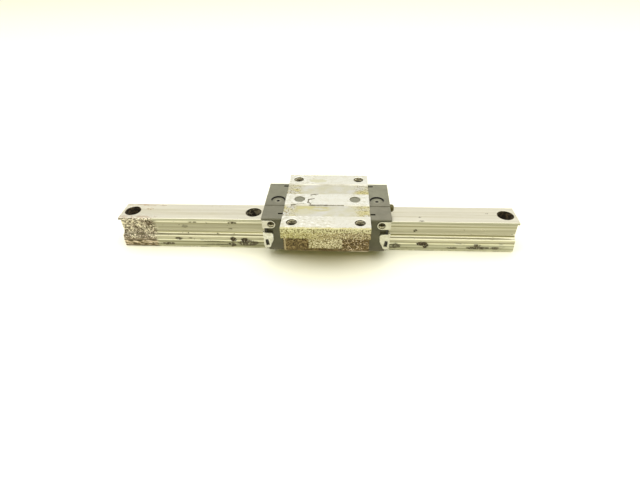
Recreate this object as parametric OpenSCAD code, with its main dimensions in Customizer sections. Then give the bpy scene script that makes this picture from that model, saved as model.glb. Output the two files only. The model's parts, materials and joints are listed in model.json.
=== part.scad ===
// Flanged linear guide carriage, size 15, on a short profile rail.
// X runs along the rail, +Z is up. The origin is the middle of the rail's underside.

/* [Rail] */
// Length of the rail
rail_length = 190; // [188:1:260]
// Width of the rail at its foot
rail_foot_w = 15; // [14.6:0.1:15]
// Width of the rail at its top face
rail_top_w = 13.2; // [13:0.1:13.4]
// Height of the rail
rail_h = 16.2; // [16.1:0.1:16.4]
// Distance between the rail's screw holes
rail_pitch = 60; // [40:1:60]
// Clearance hole for the rail screws
rail_hole_d = 4.5; // [4.3:0.1:5]
// Counterbore for the rail screw heads
rail_bore_d = 7.4; // [7:0.1:8]
// Height of the screw head seat above the rail's underside
rail_seat_z = 10.3; // [8:0.1:12]

/* [Carriage block] */
// Place of the carriage along the rail
carriage_x = 5.9; // [-60:0.1:60]
// Height of the mounting face above the rail's underside
top_z = 24; // [24:0.1:26]
// Length of the steel block
block_l = 39.2; // [39:0.1:60]
// Width of the flange
flange_w = 47; // [46:0.5:54]
// Thickness of the flange
flange_t = 5.6; // [4:0.1:6]
// Width of the block under the flange
core_w = 34; // [33:0.1:36]
// Height of the block's underside
skirt_z = 4.1; // [4.1:0.1:4.6]
// Width of the thick middle part of each flange
web_w = 14.7; // [8:0.1:20]
// Height of the underside of the thick middle part
web_z = 13.2; // [10:0.1:16]
// Spacing of the tapped holes along the rail
tap_dx = 30; // [26:0.5:32]
// Spacing of the tapped holes across the rail
tap_dy = 38; // [38:0.5:40]
// Core diameter of the tapped holes
tap_d = 4.3; // [4:0.1:5]
// Spacing of the two centre holes along the rail
mid_dx = 26; // [24:0.5:28]

/* [End caps] */
// Length of one end cap
cap_l = 9.5; // [9.5:0.1:12]
// Width of the end caps
cap_w = 31.8; // [31:0.1:33]
// Height of the end caps
cap_z = 23.3; // [22.8:0.1:23.5]
// Thickness of the end plates
plate_t = 0.8; // [0.6:0.1:1]
// Thickness of the end seals
seal_t = 1.1; // [0.8:0.1:1.2]

/* [Ball rows] */
// Diameter of a ball
ball_d = 3.175; // [3:0.005:3.175]
// Distance of the loaded balls from the middle plane
load_y = 6.35; // [6.3:0.01:6.4]
// Height of the upper loaded row
upper_load_z = 13.45; // [13.4:0.01:13.5]
// Height of the lower loaded row
lower_load_z = 8.2; // [8.15:0.01:8.25]
// Distance of the returning balls from the middle plane
return_y = 12.8; // [12.6:0.1:13]
// Height of the upper returning row
upper_return_z = 15.2; // [15:0.1:15.4]
// Height of the lower returning row
lower_return_z = 7.7; // [7.5:0.1:7.9]

/* [Hidden] */
$fn = 64;
// Overshoot of a cut past the face that it opens
cut = 1;
// Gap between two pieces that fit together
fit = 0.05;
// Gap between the carriage and the rail
run_gap = 0.45;
// Gap between a seal lip and the rail
lip_gap = 0.12;

// Rail outline
race_r = 1.65;
waist_w = 9.5;
foot_side_z = 4.1;
foot_edge = 0.25;
foot_shoulder_z = 5.95;
foot_shoulder_w = 14.1;
rail_chamfer = 0.3;
rail_mouth = 0.2;
rail_hole_count = 4;
mid_z = (upper_load_z + lower_load_z) / 2;

// Block outline
half_block = block_l / 2;
half_flange = flange_w / 2;
half_core = core_w / 2;
flange_z = top_z - flange_t;
skirt_chamfer = 2.9;
flange_edge = 0.35;
roof_z = rail_h + 0.6;
channel_y = 9.8;
groove_in = 4.7;
groove_out = 14.3;
groove_t = 0.4;
groove_slope = 0.5;
tap_mouth = 0.35;
plug_d = 5;
plug_t = 1.5;
plug_drop = 0.4;

// End cap outline and the pieces in it
half_cap = cap_w / 2;
cap_end = half_block + cap_l;
hood_t = 0.7;
end_inset = 0.35;
cap_chamfer = 2.5;
cap_edge = 0.4;
band_t = 0.2;
plate_out = cap_end - 0.3;
plate_in = plate_out - plate_t;
seal_in = plate_in - seal_t;
guide_t = 0.8;
ball_gap = 0.25;
turn_x = half_block + guide_t;
channel_r = 1.75;
guide_half_t = 1.5;
guide_foot_in = load_y - 0.75;
guide_foot_out = return_y + 2.2;
guide_foot_margin = 2;
port_x = half_block + 3.7;
port_d = 6.4;
port_t = 0.6;
port_hole_d = 0.9;
port_hole_t = 2;
slot_l = 2.4;
slot_w = 1.1;
slot_t = 0.8;
slot_y = [-11.5, 13.2];

// Side lugs of the end plates
lug_t = 0.55;
lug_y = half_cap + 0.3;
lug_gap = 0.25;
lug_z = 20.45;
lug_r = 2.05;
lug_x = 24.8;
low_lug_r = 1.6;
low_lug_x = plate_out - low_lug_r;
low_lug_z = 8.8;
low_lug_top_z = 16;
low_lug_in = 24.15;
low_lug_taper_z = 11.6;
lug_slot = [1.6, 3.3];
lug_slot_z = 10.45;
lug_slot_tilt = 9;
notch_y = 14.2;
gap_pocket = [24.1, 15.4, 18.9];
gap_pocket_t = 1.2;

// Fasteners and the grease nipple
end_screw_y = 11;
end_screw_z = 19.8;
end_screw_d = 2.5;
end_head_d = 4.2;
end_seat_t = 0.4;
end_screw_depth = 4.6;
socket_t = 0.5;
deep_socket_t = 1.4;
hex_key = 1.5;
port_screw_d = 3;
port_screw_l = 2.8;
port_screw_drop = 0.5;
left_screw_drop = 0.1;
nipple_z = 19.5;
nipple_d = 3;
nipple_l = 5;
nipple_head_d = 3.6;
nipple_head_l = 2.5;
nipple_chamfer = 0.6;
nipple_bore_d = 1;
hex = 6;

// Ball frame and retainer strip
frame_y = 7.05;
frame_bottom_z = 4.75;
frame_bridge = 1.2;
ball_room_r = 1.72;
insert_y = 6.9;
strip_in = waist_w / 2 + 0.35;
strip_out = 6.75;
strip_half_h = 1.6;

// Tubes and long seals
tube_d = 4.4;
tube_bore_d = 3.5;
long_seal_t = 0.55;

// ---- placing ----

// Pieces of one side are drawn at +Y and flipped to the front with side -1
module on_carriage(side = 1) {
    translate([carriage_x, 0, 0]) mirror([0, side < 0 ? 1 : 0, 0]) children();
}

// Pieces of one end are drawn at +X and flipped to the left with end -1
module at_end(end = 1) {
    translate([carriage_x, 0, 0]) mirror([end < 0 ? 1 : 0, 0, 0]) children();
}

module both_sides() {
    for (side = [0, 1]) mirror([0, side, 0]) children();
}

// Extrudes an outline drawn in Y and Z along X
module along_x(x0, x1) {
    translate([x0, 0, 0]) rotate([90, 0, 90]) linear_extrude(x1 - x0) children();
}

// Extrudes an outline drawn in X and Z along Y
module along_y(y0, y1) {
    translate([0, y1, 0]) rotate([90, 0, 0]) linear_extrude(y1 - y0) children();
}

// A cylinder along X, and one along Y
module rod_x(d, x0, x1) {
    translate([x0, 0, 0]) rotate([0, 90, 0]) cylinder(d = d, h = x1 - x0);
}

module rod_y(d, y0, y1) {
    translate([0, y1, 0]) rotate([90, 0, 0]) cylinder(d = d, h = y1 - y0);
}

// ---- rail outline ----

// Cross-section of the rail, grown by a gap for the pieces that run over it
module rail_outline(gap = 0) {
    foot = rail_foot_w / 2 + gap;
    shoulder = foot_shoulder_w / 2 + gap;
    head = rail_top_w / 2 + gap;
    waist = waist_w / 2 + gap;
    groove = race_r - gap;
    top = rail_h + gap;
    floor_z = gap > 0 ? -cut : 0;
    half = [
        [foot - rail_chamfer, floor_z],
        [foot, floor_z + rail_chamfer],
        [foot, foot_side_z + gap / 2],
        [foot - foot_edge, foot_side_z + foot_edge + gap / 2],
        [shoulder, foot_shoulder_z + gap / 2],
        [load_y, lower_load_z - 0.9 * groove],
        [waist, lower_load_z],
        [waist, upper_load_z],
        [head, upper_load_z + 0.75 * groove],
        [head, top - rail_chamfer],
        [head - rail_chamfer, top]
    ];
    difference() {
        polygon(concat(half, [for (i = [len(half) - 1:-1:0]) [-half[i][0], half[i][1]]]));
        for (y = [-load_y, load_y], z = [upper_load_z, lower_load_z])
            translate([y, z]) circle(r = groove);
    }
}

module rail_hole() {
    translate([0, 0, -cut]) cylinder(d = rail_hole_d, h = rail_h);
    translate([0, 0, rail_seat_z]) cylinder(d = rail_bore_d, h = rail_h);
    translate([0, 0, rail_h - rail_mouth])
        cylinder(d1 = rail_bore_d, d2 = rail_bore_d + 4 * rail_mouth, h = 2 * rail_mouth);
}

module rail() {
    color([0.85, 0.83, 0.76]) difference() {
        along_x(-rail_length / 2, rail_length / 2) rail_outline();
        for (i = [0:rail_hole_count - 1])
            translate([(i - (rail_hole_count - 1) / 2) * rail_pitch, 0, 0]) rail_hole();
    }
}

// ---- steel block ----

// Cross-section through the corners of the block, where the flange is thin
module block_outline() {
    half = [
        [half_core - skirt_chamfer, skirt_z],
        [half_core, skirt_z + skirt_chamfer],
        [half_core, flange_z],
        [half_flange, flange_z],
        [half_flange, top_z - flange_edge],
        [half_flange - flange_edge, top_z],
        [groove_out, top_z],
        [groove_out - groove_slope, top_z - groove_t],
        [groove_in + groove_slope, top_z - groove_t],
        [groove_in, top_z]
    ];
    difference() {
        polygon(concat(half, [for (i = [len(half) - 1:-1:0]) [-half[i][0], half[i][1]]]));
        translate([-channel_y, skirt_z - cut]) square([2 * channel_y, roof_z - skirt_z + cut]);
    }
}

module tapped_hole() {
    translate([0, 0, roof_z - cut]) cylinder(d = tap_d, h = top_z);
    translate([0, 0, top_z - tap_mouth])
        cylinder(d1 = tap_d, d2 = tap_d + 4 * tap_mouth, h = 2 * tap_mouth);
}

module carriage_block() {
    color([0.87, 0.85, 0.78]) on_carriage() difference() {
        union() {
            along_x(-half_block, half_block) block_outline();
            both_sides() translate([-web_w / 2, half_core - cut, web_z])
                cube([web_w, half_flange - half_core + cut, flange_z - web_z + cut]);
        }
        for (x = [-tap_dx, tap_dx] / 2, y = [-tap_dy, tap_dy] / 2)
            translate([x, y, 0]) tapped_hole();
        for (x = [-mid_dx, mid_dx] / 2) translate([x, 0, 0]) {
            tapped_hole();
            translate([0, 0, top_z - plug_drop - plug_t])
                cylinder(d = plug_d + 2 * fit, h = top_z);
        }
        both_sides() for (z = [upper_return_z, lower_return_z])
            translate([0, return_y, z]) rod_x(tube_d + 2 * fit, -half_block - cut, half_block + cut);
        both_sides() for (end = [0, 1]) mirror([end, 0, 0])
            translate([0, end_screw_y, end_screw_z])
                rod_x(end_screw_d + 2 * fit, half_block - end_screw_depth - fit, half_block + cut);
    }
}

module hole_plug(end) {
    color([0.62, 0.6, 0.54]) translate([carriage_x + end * mid_dx / 2, 0, top_z - plug_drop - plug_t])
        cylinder(d = plug_d, h = plug_t);
}

module hole_plug_left() { hole_plug(-1); }

module hole_plug_right() { hole_plug(1); }

// ---- ball rows ----

// A row is [height of its loaded line, height of its return line]
upper_row = [upper_load_z, upper_return_z];
lower_row = [lower_load_z, lower_return_z];

function turn_r(row) = norm([return_y - load_y, row[1] - row[0]]) / 2;

function row_tilt(row) = atan2(row[1] - row[0], return_y - load_y);

// Length of the endless track of a row
function track_l(row) = 4 * turn_x + 2 * PI * turn_r(row);

function to_deg(arc, r) = arc / r * 180 / PI;

// Place on the track after a distance s: along the rail, and across the row's own plane
function track_point(s, r) =
    s < 2 * turn_x ? [s - turn_x, -r] :
    s < 2 * turn_x + PI * r ? let (a = to_deg(s - 2 * turn_x, r)) [turn_x + r * sin(a), -r * cos(a)] :
    s < 4 * turn_x + PI * r ? [3 * turn_x + PI * r - s, r] :
    let (a = to_deg(s - 4 * turn_x - PI * r, r)) [-turn_x - r * sin(a), r * cos(a)];

// Moves its children from the row's own plane to the row's place
module in_row_plane(row) {
    translate([0, (load_y + return_y) / 2, (row[0] + row[1]) / 2])
        rotate([row_tilt(row), 0, 0]) children();
}

module balls(side, row) {
    count = floor(track_l(row) / (ball_d + ball_gap));
    step = track_l(row) / count;
    color([0.8, 0.8, 0.82]) on_carriage(side) in_row_plane(row)
        for (i = [0:count - 1]) {
            p = track_point((i + 0.5) * step, turn_r(row));
            translate([p[0], p[1], 0]) sphere(d = ball_d, $fn = 32);
        }
}

module balls_front_upper() { balls(-1, upper_row); }

module balls_front_lower() { balls(-1, lower_row); }

module balls_back_upper() { balls(1, upper_row); }

module balls_back_lower() { balls(1, lower_row); }

// ---- raceway inserts, frames and strips ----

module load_lines(r) {
    for (z = [upper_load_z, lower_load_z]) translate([load_y, z]) circle(r = r);
}

module bearing_plate(side, up) {
    color([0.6, 0.6, 0.62]) on_carriage(side)
        along_x(-half_block + frame_bridge + fit, half_block - frame_bridge - fit) difference() {
            translate([insert_y, up > 0 ? mid_z + fit : lower_load_z])
                square([channel_y - fit - insert_y, upper_load_z - mid_z - fit]);
            load_lines(race_r);
        }
}

module bearing_plate_front_upper() { bearing_plate(-1, 1); }

module bearing_plate_front_lower() { bearing_plate(-1, -1); }

module bearing_plate_back_upper() { bearing_plate(1, 1); }

module bearing_plate_back_lower() { bearing_plate(1, -1); }

module ball_frame(side) {
    color([0.2, 0.22, 0.2]) on_carriage(side) difference() {
        along_x(-half_block, half_block) difference() {
            translate([frame_y, frame_bottom_z])
                square([channel_y - fit - frame_y, roof_z - fit - frame_bottom_z]);
            load_lines(ball_room_r);
            rail_outline(run_gap);
        }
        translate([-half_block + frame_bridge, 0, lower_load_z - fit])
            cube([block_l - 2 * frame_bridge, half_core, upper_load_z - lower_load_z + 2 * fit]);
    }
}

module ball_frame_front() { ball_frame(-1); }

module ball_frame_back() { ball_frame(1); }

module retainer_strip(side) {
    color([0.25, 0.25, 0.22]) on_carriage(side) along_x(-half_block, half_block) difference() {
        translate([strip_in, mid_z - strip_half_h])
            square([strip_out - strip_in, 2 * strip_half_h]);
        load_lines(race_r);
    }
}

module retainer_strip_front() { retainer_strip(-1); }

module retainer_strip_back() { retainer_strip(1); }

module return_tube(side, row) {
    color([0.9, 0.88, 0.8]) on_carriage(side) translate([0, return_y, row[1]]) difference() {
        rod_x(tube_d, -half_block, half_block);
        rod_x(tube_bore_d, -half_block - cut, half_block + cut);
    }
}

module return_tube_front_upper() { return_tube(-1, upper_row); }

module return_tube_front_lower() { return_tube(-1, lower_row); }

module return_tube_back_upper() { return_tube(1, upper_row); }

module return_tube_back_lower() { return_tube(1, lower_row); }

// ---- ball turns ----

// The ring that the balls roll round in a turn
module turn_channel(row) {
    in_row_plane(row) translate([turn_x, 0, 0]) rotate_extrude()
        translate([turn_r(row), 0]) circle(r = channel_r);
}

// Plain-sided outline round the rail, for the pieces that scoop the balls off it
module scoop_outline() {
    half = [
        [rail_foot_w / 2 + run_gap, skirt_z - cut],
        [rail_foot_w / 2 + run_gap, foot_side_z + 0.4],
        [foot_shoulder_w / 2 + 0.4, foot_shoulder_z + 0.5],
        [waist_w / 2 + 0.65, lower_load_z - 0.65],
        [waist_w / 2 + 0.35, lower_load_z - 0.15],
        [waist_w / 2 + 0.35, upper_load_z + 0.15],
        [waist_w / 2 + 0.65, upper_load_z + 0.65],
        [rail_top_w / 2 + run_gap, upper_load_z + 1.15],
        [rail_top_w / 2 + run_gap, roof_z]
    ];
    polygon(concat(half, [for (i = [len(half) - 1:-1:0]) [-half[i][0], half[i][1]]]));
}

// Room in the cap for the half disc inside the turn
module turn_core_room(row) {
    in_row_plane(row) translate([half_block, 0, -guide_half_t - fit]) intersection() {
        translate([guide_t, 0, 0]) cylinder(r = turn_r(row), h = 2 * (guide_half_t + fit));
        translate([0, -turn_r(row) - cut, -cut])
            cube([3 * turn_r(row), 2 * (turn_r(row) + cut), 2 * (guide_half_t + fit + cut)]);
    }
}

// The half disc inside the turn, with the balls' groove round its rim
module turn_core(row) {
    in_row_plane(row) translate([turn_x, 0, 0]) rotate([0, 0, -90]) rotate_extrude(angle = 180)
        difference() {
            translate([0, -guide_half_t]) square([turn_r(row), 2 * guide_half_t]);
            translate([turn_r(row), 0]) circle(r = channel_r);
        }
}

// Foot plate of the return guide in Y and Z, which lies against the block
module guide_foot_outline(gap) {
    low_z = lower_return_z - guide_foot_margin - gap;
    high_z = upper_return_z + guide_foot_margin + gap;
    translate([guide_foot_in - gap, low_z])
        square([guide_foot_out - guide_foot_in + 2 * gap, high_z - low_z]);
}

module return_guide(end, side) {
    color([0.75, 0.72, 0.6]) at_end(end) mirror([0, side < 0 ? 1 : 0, 0]) {
        along_x(half_block, turn_x) difference() {
            guide_foot_outline(0);
            for (p = [[load_y, upper_load_z], [load_y, lower_load_z],
                [return_y, upper_return_z], [return_y, lower_return_z]])
                translate(p) circle(r = channel_r + fit);
            scoop_outline();
        }
        turn_core(upper_row);
        turn_core(lower_row);
    }
}

module return_guide_left_front() { return_guide(-1, -1); }

module return_guide_left_back() { return_guide(-1, 1); }

module return_guide_right_front() { return_guide(1, -1); }

module return_guide_right_back() { return_guide(1, 1); }

// ---- end caps, seals and plates ----

// Outline of the end pieces in Y and Z, smaller than the cap by inset
module end_outline(inset, top) {
    half = [
        [half_cap - cap_chamfer - inset / 2, skirt_z + inset],
        [half_cap - inset, skirt_z + cap_chamfer + inset / 2],
        [half_cap - inset, top - cap_edge],
        [half_cap - inset - cap_edge, top]
    ];
    polygon(concat(half, [for (i = [len(half) - 1:-1:0]) [-half[i][0], half[i][1]]]));
}

// Upper lug in X and Z: square at the end plate, round at the port screw
module upper_lug_outline(gap) {
    translate([lug_x, lug_z - lug_r - gap]) square([plate_out - lug_x, 2 * (lug_r + gap)]);
    translate([lug_x, lug_z]) circle(r = lug_r + gap);
}

// Lower lug in X and Z: wide at the top, narrowing to a round foot
module lower_lug_outline(gap) {
    polygon([
        [plate_out, low_lug_top_z + 0.4 + gap],
        [plate_out - 0.8, low_lug_top_z - 0.2 + gap],
        [low_lug_in + 0.65 - gap / 2, low_lug_top_z - 0.4 + gap],
        [low_lug_in - gap, low_lug_top_z - 1.1 + gap / 2],
        [low_lug_in + 0.15 - gap, low_lug_taper_z],
        [low_lug_x - low_lug_r - gap, low_lug_z],
        [plate_out, low_lug_z]
    ]);
    translate([low_lug_x, low_lug_z]) circle(r = low_lug_r + gap);
}

module cap_body() {
    along_x(half_block, seal_in) end_outline(0, cap_z);
    // The hood over the seal and the end plate
    along_x(seal_in - cut, cap_end) intersection() {
        end_outline(0, cap_z);
        translate([-half_cap, cap_z - hood_t]) square([cap_w, hood_t]);
    }
    // The raised band along the middle
    translate([half_block, -groove_in, cap_z - hood_t])
        cube([cap_l, 2 * groove_in, hood_t + band_t]);
}

// What is cut into one side of a cap
module cap_side_cuts() {
    along_y(lug_y - lug_t - fit, half_cap + cut) {
        upper_lug_outline(lug_gap);
        lower_lug_outline(lug_gap);
    }
    translate([gap_pocket[0], half_cap - gap_pocket_t, gap_pocket[1]])
        cube([seal_in - gap_pocket[0] + cut, gap_pocket_t + cut, gap_pocket[2] - gap_pocket[1]]);
    translate([lug_x, 0, lug_z])
        rod_y(port_screw_d + 2 * fit, lug_y - port_screw_drop - port_screw_l - fit, half_cap + cut);
    translate([0, end_screw_y, end_screw_z]) rod_x(end_screw_d + 4 * fit, half_block - cut, seal_in + cut);
    along_x(half_block - cut, turn_x + fit) guide_foot_outline(fit);
    turn_core_room(upper_row);
    turn_core_room(lower_row);
    turn_channel(upper_row);
    turn_channel(lower_row);
}

module end_cap(end) {
    color([0.36, 0.35, 0.3]) at_end(end) difference() {
        cap_body();
        both_sides() cap_side_cuts();
        along_x(half_block - cut, cap_end + cut) scoop_outline();
        translate([port_x, 0, cap_z + band_t - port_t]) cylinder(d = port_d, h = port_t + cut);
        translate([port_x, 0, cap_z - port_hole_t]) cylinder(d = port_hole_d, h = port_hole_t + cut);
        for (y = slot_y)
            translate([half_block - cut, y - slot_w / 2, cap_z - slot_t])
                cube([slot_l + cut, slot_w, slot_t + cut]);
        translate([0, 0, nipple_z]) rod_x(nipple_d + 2 * fit, plate_out - nipple_l - 2 * fit, cap_end);
    }
}

module end_cap_left() { end_cap(-1); }

module end_cap_right() { end_cap(1); }

module end_seal(end) {
    color([0.12, 0.12, 0.12]) at_end(end) difference() {
        along_x(seal_in, plate_in) difference() {
            end_outline(end_inset, cap_z - hood_t - fit);
            rail_outline(lip_gap);
        }
        both_sides() translate([0, end_screw_y, end_screw_z])
            rod_x(end_screw_d + 4 * fit, seal_in - cut, cap_end);
        translate([0, 0, nipple_z]) rod_x(nipple_d + 2 * fit, seal_in - cut, cap_end);
    }
}

module end_seal_left() { end_seal(-1); }

module end_seal_right() { end_seal(1); }

// The lugs of one side, bent back from the plate over the cap
module lugs() {
    difference() {
        along_y(lug_y - lug_t, lug_y) {
            upper_lug_outline(0);
            lower_lug_outline(0);
        }
        translate([lug_x, 0, lug_z]) rod_y(port_screw_d + 4 * fit, 0, lug_y + cut);
        translate([low_lug_x, 0, lug_slot_z]) rotate([0, lug_slot_tilt, 0])
            translate([-lug_slot[0] / 2, 0, -lug_slot[1] / 2])
                cube([lug_slot[0], lug_y + cut, lug_slot[1]]);
    }
    // The bends, where each lug meets the plate
    for (z = [[lug_z - lug_r, lug_z + lug_r], [low_lug_z, low_lug_top_z]])
        translate([plate_in, half_cap - cut, z[0]]) cube([plate_t, lug_y - half_cap + cut, z[1] - z[0]]);
}

module end_plate(end) {
    color([0.93, 0.92, 0.87]) at_end(end) difference() {
        union() {
            along_x(plate_in, plate_out) difference() {
                end_outline(end_inset, cap_z - hood_t - fit);
                scoop_outline();
                // The notch between the two lugs of a side
                for (y = [-half_cap, notch_y])
                    translate([y, low_lug_top_z + 0.2])
                        square([half_cap - notch_y, lug_z - lug_r - low_lug_top_z - 0.2]);
            }
            both_sides() lugs();
        }
        both_sides() translate([0, end_screw_y, end_screw_z]) {
            rod_x(end_screw_d + 4 * fit, plate_in - cut, cap_end);
            rod_x(end_head_d + 2 * fit, plate_in + end_seat_t, cap_end);
        }
        translate([0, 0, nipple_z]) rod_x(nipple_d + 2 * fit, plate_in - cut, cap_end);
    }
}

module end_plate_left() { end_plate(-1); }

module end_plate_right() { end_plate(1); }

// ---- fasteners and nipple ----

// A hexagon socket sunk into a face at x1
module hex_socket(across, depth, x1) {
    translate([x1 - depth, 0, 0]) rotate([0, 90, 0])
        cylinder(d = across / cos(30), h = depth + cut, $fn = hex);
}

module end_screws(end) {
    color([0.5, 0.49, 0.46]) at_end(end) both_sides() translate([0, end_screw_y, end_screw_z])
        difference() {
            union() {
                rod_x(end_screw_d, half_block - end_screw_depth, plate_out);
                rod_x(end_head_d, plate_in + end_seat_t, cap_end);
            }
            hex_socket(hex_key, socket_t, cap_end);
        }
}

module end_screws_left() { end_screws(-1); }

module end_screws_right() { end_screws(1); }

module side_port_screws(end) {
    color([0.25, 0.24, 0.22]) at_end(end) both_sides() translate([lug_x, lug_y - port_screw_drop, lug_z])
        rotate([0, 0, 90]) difference() {
            rod_x(port_screw_d, -port_screw_l, 0);
            hex_socket(hex_key, deep_socket_t, 0);
        }
}

module side_port_screws_left() { side_port_screws(-1); }

module side_port_screws_right() { side_port_screws(1); }

// Funnel nipple: threaded stem, collar and round head with a filling hole
module lube_nipple() {
    color([0.55, 0.5, 0.3]) at_end(1) translate([0, 0, nipple_z]) difference() {
        union() {
            rod_x(nipple_d, plate_out - nipple_l, plate_out + fit);
            translate([plate_out + fit, 0, 0]) rotate([0, 90, 0]) rotate_extrude() polygon([
                [0, 0],
                [nipple_head_d / 2, 0],
                [nipple_head_d / 2, nipple_head_l - nipple_chamfer],
                [nipple_head_d / 2 - nipple_chamfer, nipple_head_l],
                [0, nipple_head_l]
            ]);
        }
        rod_x(nipple_bore_d, plate_out - nipple_l - cut, plate_out + nipple_head_l + cut);
    }
}

module port_screw_left() {
    color([0.25, 0.24, 0.22]) at_end(-1) translate([0, 0, nipple_z]) difference() {
        rod_x(nipple_d, plate_out - nipple_l + 1, plate_out - left_screw_drop);
        hex_socket(hex_key, deep_socket_t, plate_out - left_screw_drop);
    }
}

// ---- long seals under the block ----

module side_seal(side) {
    color([0.12, 0.12, 0.12]) on_carriage(side)
        translate([-half_block, rail_foot_w / 2 + lip_gap, skirt_z])
            cube([block_l, channel_y - fit - rail_foot_w / 2 - lip_gap, long_seal_t]);
}

module side_seal_front() { side_seal(-1); }

module side_seal_back() { side_seal(1); }

rail();
carriage_block();
hole_plug_left();
hole_plug_right();
bearing_plate_front_upper();
bearing_plate_front_lower();
bearing_plate_back_upper();
bearing_plate_back_lower();
balls_front_upper();
balls_front_lower();
balls_back_upper();
balls_back_lower();
ball_frame_front();
ball_frame_back();
retainer_strip_front();
retainer_strip_back();
return_tube_front_upper();
return_tube_front_lower();
return_tube_back_upper();
return_tube_back_lower();
return_guide_left_front();
return_guide_left_back();
return_guide_right_front();
return_guide_right_back();
end_cap_left();
end_cap_right();
end_seal_left();
end_seal_right();
end_plate_left();
end_plate_right();
end_screws_left();
end_screws_right();
side_port_screws_left();
side_port_screws_right();
lube_nipple();
port_screw_left();
side_seal_front();
side_seal_back();
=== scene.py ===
import json
import math

import bmesh
import bpy
from mathutils import Matrix, Vector


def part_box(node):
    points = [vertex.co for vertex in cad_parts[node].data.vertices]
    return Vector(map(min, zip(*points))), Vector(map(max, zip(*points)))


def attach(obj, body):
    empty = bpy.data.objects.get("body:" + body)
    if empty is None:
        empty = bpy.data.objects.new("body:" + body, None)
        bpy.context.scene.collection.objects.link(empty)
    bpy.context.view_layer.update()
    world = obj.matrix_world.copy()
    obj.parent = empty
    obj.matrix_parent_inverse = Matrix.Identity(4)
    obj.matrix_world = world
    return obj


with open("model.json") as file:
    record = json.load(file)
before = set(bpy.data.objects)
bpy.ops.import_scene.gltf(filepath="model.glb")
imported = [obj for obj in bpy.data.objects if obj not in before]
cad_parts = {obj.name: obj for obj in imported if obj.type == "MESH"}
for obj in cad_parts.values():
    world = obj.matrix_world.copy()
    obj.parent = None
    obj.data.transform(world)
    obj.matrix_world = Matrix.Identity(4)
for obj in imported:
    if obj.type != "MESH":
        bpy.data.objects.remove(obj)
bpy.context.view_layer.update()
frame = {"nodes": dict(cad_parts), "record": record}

MM = 0.001


def box_middle(node):
    """The middle of a CAD node's box, in metres."""
    low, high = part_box(node)
    return (Vector(low) + Vector(high)) / 2.0


# ---- places on the part, in millimetres in the row frame ----

RAIL_TOP = 16.2
RAIL_PITCH = 60.0
RAIL_BORE_RADIUS = 3.7
BLOCK_X = box_middle("carriage_block").x / MM
BLOCK_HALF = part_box("carriage_block")[1][0] / MM - BLOCK_X
BLOCK_TOP = 24.0
GROOVE_FLOOR = 23.6
FLANGE_BOTTOM = 18.4
FLANGE_EDGE = 23.5
TAP_SPACING = (30.0, 38.0)
TAP_RADIUS = 2.15
CAP_TOP = 23.3
CAP_SLOT_Y = (-11.5, 13.2)
CAP_SLOT_HALF = 0.55
CAP_SLOT_DEPTH = 1.0
CAP_SLOT_REACH = BLOCK_HALF + 2.5
PORT_REACH = BLOCK_HALF + 3.7
PORT_SCREW_Z = box_middle("side_port_screws_left").z / MM


# ---- camera ----

CAMERA_TARGET = Vector((2.05, 0.0, -0.18)) * MM
CAMERA_YAW = 0.0632
CAMERA_ELEVATION = 0.6508
CAMERA_ROLL = -0.0223
CAMERA_DISTANCE = 213.3 * MM
CAMERA_LENS = 23.71
CAMERA_SENSOR = 36.0


def make_camera():
    """A camera in front of the rail, looking down on it, and turned a little about its view."""
    back = Vector((math.sin(CAMERA_YAW) * math.cos(CAMERA_ELEVATION),
                   -math.cos(CAMERA_YAW) * math.cos(CAMERA_ELEVATION),
                   math.sin(CAMERA_ELEVATION)))
    level = Vector((math.cos(CAMERA_YAW), math.sin(CAMERA_YAW), 0.0))
    up = back.cross(level)
    right = level * math.cos(CAMERA_ROLL) + up * math.sin(CAMERA_ROLL)
    up = back.cross(right)
    camera = bpy.data.objects.new("camera", bpy.data.cameras.new("camera"))
    camera.data.lens = CAMERA_LENS
    camera.data.sensor_width = CAMERA_SENSOR
    camera.data.clip_start = 0.01
    camera.data.clip_end = 20.0
    turn = Matrix((right, up, back)).transposed().to_4x4()
    camera.matrix_world = Matrix.Translation(CAMERA_TARGET + back * CAMERA_DISTANCE) @ turn
    bpy.context.scene.collection.objects.link(camera)
    bpy.context.scene.camera = camera


# ---- shader building ----

def srgb(red, green, blue):
    """A colour given as 0 to 255 display values, as the linear value a shader wants."""
    def linear(v):
        v /= 255.0
        return v / 12.92 if v <= 0.04045 else ((v + 0.055) / 1.055) ** 2.4
    return (linear(red), linear(green), linear(blue), 1.0)


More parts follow.
